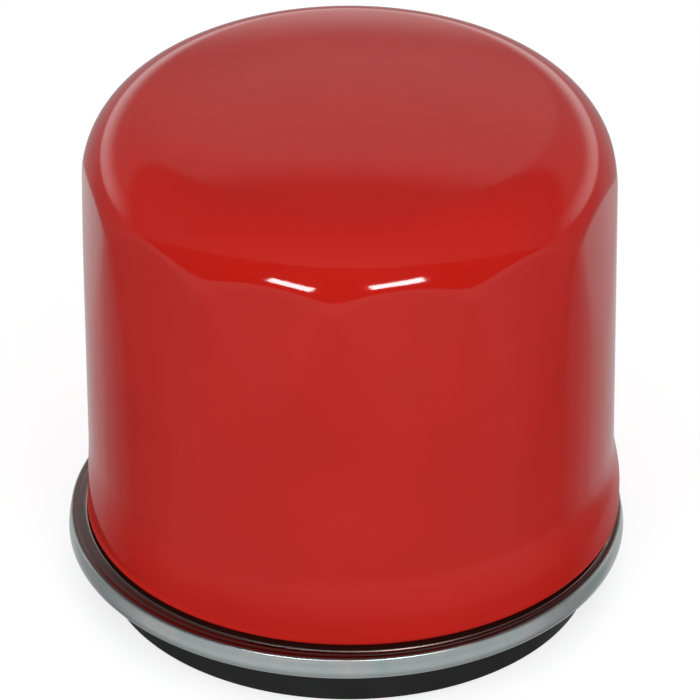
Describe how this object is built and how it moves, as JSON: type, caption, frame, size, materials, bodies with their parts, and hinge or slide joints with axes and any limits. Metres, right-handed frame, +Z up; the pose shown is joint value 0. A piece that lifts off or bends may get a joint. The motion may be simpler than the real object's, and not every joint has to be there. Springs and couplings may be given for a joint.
{
  "type": "spin-on oil filter",
  "caption": "Spin-on oil filter: domed red can with wrench flats, rolled base seam, face gasket, threaded base plate, pleated element, drainback and bypass valves.",
  "frame": {"origin": "centre of the gasket's sealing face, on the filter's axis", "axes": "+Z up the filter's axis, from the sealing face to the dome; X and Y each pass through a corner between two wrench flats"},
  "size_m": [0.0698, 0.0698, 0.0685],
  "materials": {
    "red_enamel": "glossy red baked enamel on drawn steel",
    "plated_lid_steel": "bare plated sheet, fine rolling marks",
    "seam_compound": "soft cured compound",
    "gasket_rubber": "black nitrile, satin",
    "plated_plate_steel": "zinc plated pressed steel, satin",
    "valve_rubber": "black nitrile, matt",
    "spring_steel": "oil-tempered wire, satin",
    "end_cap_steel": "tin plated sheet, satin",
    "tube_steel": "bright sheet",
    "filter_paper": "resin impregnated filter paper, matt",
    "potting_adhesive": "cured plastisol, semi-gloss"
  },
  "bodies": {
    "housing": {"can_shell": "red_enamel", "seaming_lid": "plated_lid_steel", "seam_compound": "seam_compound", "sealing_gasket": "gasket_rubber", "tapping_plate": "plated_plate_steel", "element_spring": "spring_steel"},
    "drainback_lip": {"anti_drainback_valve": "valve_rubber"},
    "element": {"lower_end_cap": "end_cap_steel", "upper_end_cap": "end_cap_steel", "centre_tube": "tube_steel", "pleated_media": "filter_paper", "lower_adhesive": "potting_adhesive", "upper_adhesive": "potting_adhesive", "media_seam_clip": "tube_steel", "spring_seat": "end_cap_steel", "bypass_seat_plate": "end_cap_steel", "bypass_cage": "end_cap_steel", "bypass_spring": "spring_steel"},
    "bypass_poppet": {"bypass_valve_disc": "tube_steel", "bypass_valve_seal": "valve_rubber", "bypass_stem": "spring_steel"}
  },
  "joints": [
    {"name": "element_float", "type": "slide", "parent": "housing", "child": "element", "axis": [0, 0, 1], "range_m": [0, 0.0015], "stiffness_N_per_m": 8000, "springref_m": -0.005, "deforming": ["element_spring"]},
    {"name": "bypass_open", "type": "slide", "parent": "element", "child": "bypass_poppet", "axis": [0, 0, -1], "range_m": [0, 0.003], "stiffness_N_per_m": 3000, "springref_m": -0.005, "deforming": ["bypass_spring"]},
    {"name": "drainback_lift", "type": "slide", "parent": "housing", "child": "drainback_lip", "axis": [0, 0, 1], "range_m": [0, 0.0012], "stiffness_N_per_m": 300, "springref_m": -0.001, "deforming": ["anti_drainback_valve"]}
  ]
}
